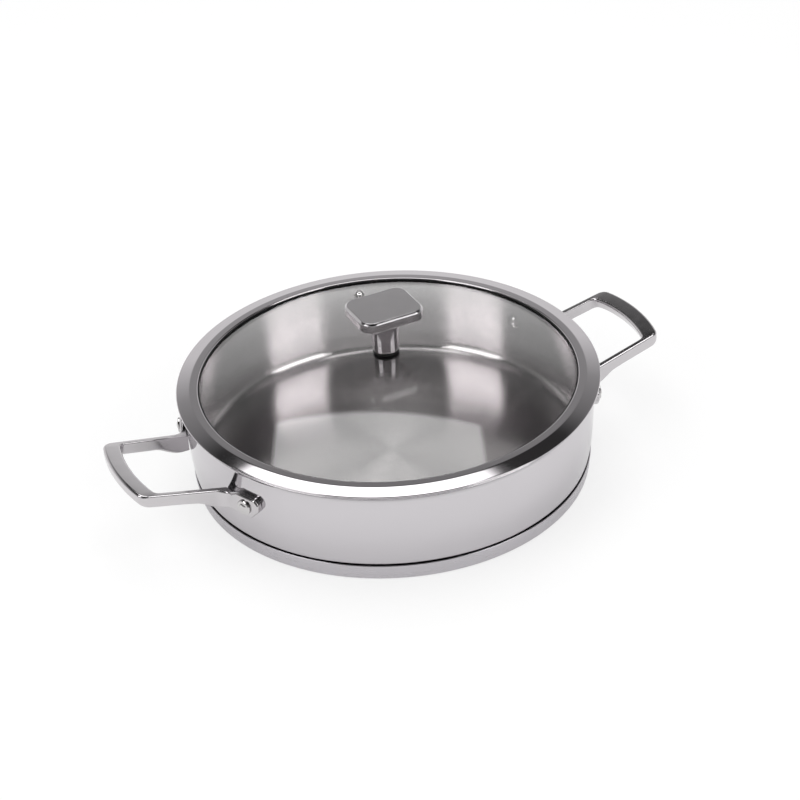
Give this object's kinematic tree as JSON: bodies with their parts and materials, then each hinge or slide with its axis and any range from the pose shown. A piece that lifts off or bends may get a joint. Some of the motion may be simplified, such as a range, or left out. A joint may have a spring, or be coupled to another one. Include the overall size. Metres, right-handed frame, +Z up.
{
  "type": "saute pan with lid",
  "caption": "Low round stainless-steel pan with loop side handles riveted to its wall, a capped heat-spreading base, and a domed glass lid with a steel rim and a square steel knob.",
  "frame": {"origin": "centre of the pan's underside, on the table", "axes": "+Z up, +X along the line through both side handles, towards the handle at the right of the picture"},
  "size_m": [0.402, 0.2902, 0.1249],
  "materials": {
    "shell_steel": "mirror polished outside, fine circular satin inside",
    "core_aluminium": "as pressed",
    "cap_steel": "fine satin",
    "handle_steel": "polished casting",
    "rivet_steel": "bright formed steel",
    "ring_steel": "mirror polished sheet",
    "lid_glass": "clear tempered glass",
    "seal_rubber": "matt black silicone",
    "knob_steel": "satin top with polished sides"
  },
  "bodies": {
    "pan": {"pan_shell": "shell_steel", "base_core": "core_aluminium", "base_cap": "cap_steel", "handle_left": "handle_steel", "handle_right": "handle_steel", "handle_rivets": "rivet_steel", "rivet_washers": "rivet_steel"},
    "lid": {"lid_glass": "lid_glass", "lid_ring": "ring_steel", "glass_strip": "seal_rubber", "vent_eyelet": "rivet_steel", "knob_plate": "knob_steel", "knob_stem": "knob_steel", "upper_seal": "seal_rubber", "lower_seal": "seal_rubber", "knob_washer": "rivet_steel", "knob_screw": "rivet_steel"}
  },
  "joints": [
    {"name": "lid_lift", "type": "slide", "parent": "pan", "child": "lid", "axis": [0, 0, 1], "range_m": [0, 0.15]}
  ]
}
